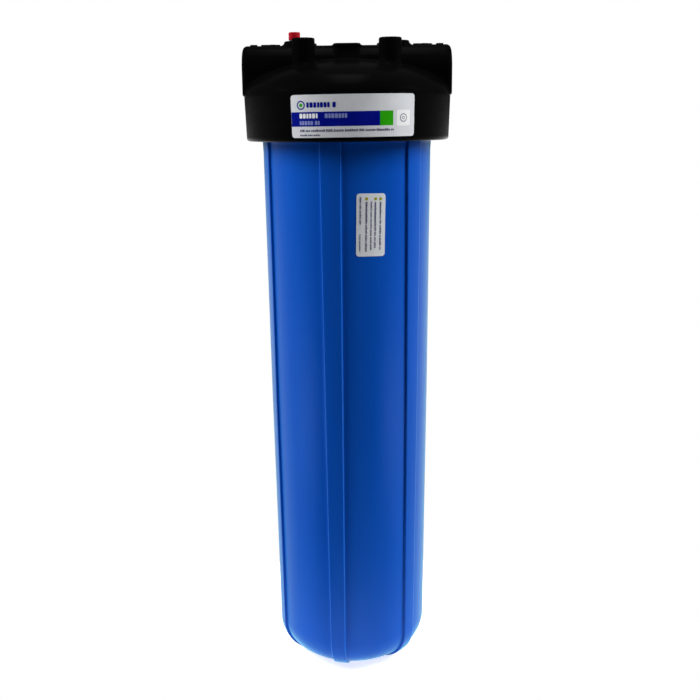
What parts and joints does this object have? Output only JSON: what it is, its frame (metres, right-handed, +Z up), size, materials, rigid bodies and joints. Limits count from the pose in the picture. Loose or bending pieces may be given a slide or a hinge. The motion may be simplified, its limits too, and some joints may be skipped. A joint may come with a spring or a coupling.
{
  "type": "cartridge filter housing",
  "caption": "Large-body water filter housing: black cap with two pipe ports and a relief button, screwed onto a ribbed blue sump that holds a pleated cartridge.",
  "frame": {"origin": "centre of the plane that the sump's feet stand on", "axes": "+Z up along the housing's axis, X along the two ports (inlet at -X, outlet at +X), the cap label faces -Y"},
  "size_m": [0.1846, 0.1848, 0.5938],
  "materials": {
    "black_polypropylene": "moulded, slightly glossy",
    "blue_polypropylene": "moulded satin",
    "red_acetal": "moulded",
    "black_rubber": "greased, dull",
    "stainless_steel": "drawn wire and turned",
    "polyester_media": "pleated non-woven sheet",
    "white_polypropylene": "moulded",
    "blue_plastisol": "cast, soft",
    "label_film": "printed film"
  },
  "bodies": {
    "cap": {"cap": "black_polypropylene", "cap_label": "label_film", "relief_spring": "stainless_steel"},
    "relief_valve": {"relief_button": "red_acetal", "relief_o_ring": "black_rubber", "relief_washer": "stainless_steel", "relief_screw": "stainless_steel"},
    "cartridge": {"cartridge_core": "white_polypropylene", "cartridge_media": "polyester_media", "cartridge_sleeve": "white_polypropylene", "cartridge_top_cap": "blue_plastisol", "cartridge_bottom_cap": "blue_plastisol", "cartridge_top_gasket": "black_rubber", "cartridge_bottom_gasket": "black_rubber"},
    "sump": {"sump": "blue_polypropylene", "sump_o_ring": "black_rubber", "sump_label": "label_film"}
  },
  "joints": [
    {"name": "relief_press", "type": "slide", "parent": "cap", "child": "relief_valve", "axis": [0, 0, -1], "range_m": [0, 0.0025], "stiffness_N_per_m": 600, "springref_m": -0.004, "deforming": ["relief_spring"]},
    {"name": "sump_drop", "type": "slide", "parent": "cap", "child": "cartridge", "axis": [0, 0, -1], "range_m": [0, 0.0201]},
    {"name": "sump_turn", "type": "hinge", "parent": "cartridge", "child": "sump", "pos_m": [0, 0, 0.523], "axis": [0, 0, -1], "range_deg": [0, 900]}
  ],
  "couplings": [
    {"joint": "sump_drop", "follows": "sump_turn", "m_per_rad": 0.0012732}
  ]
}
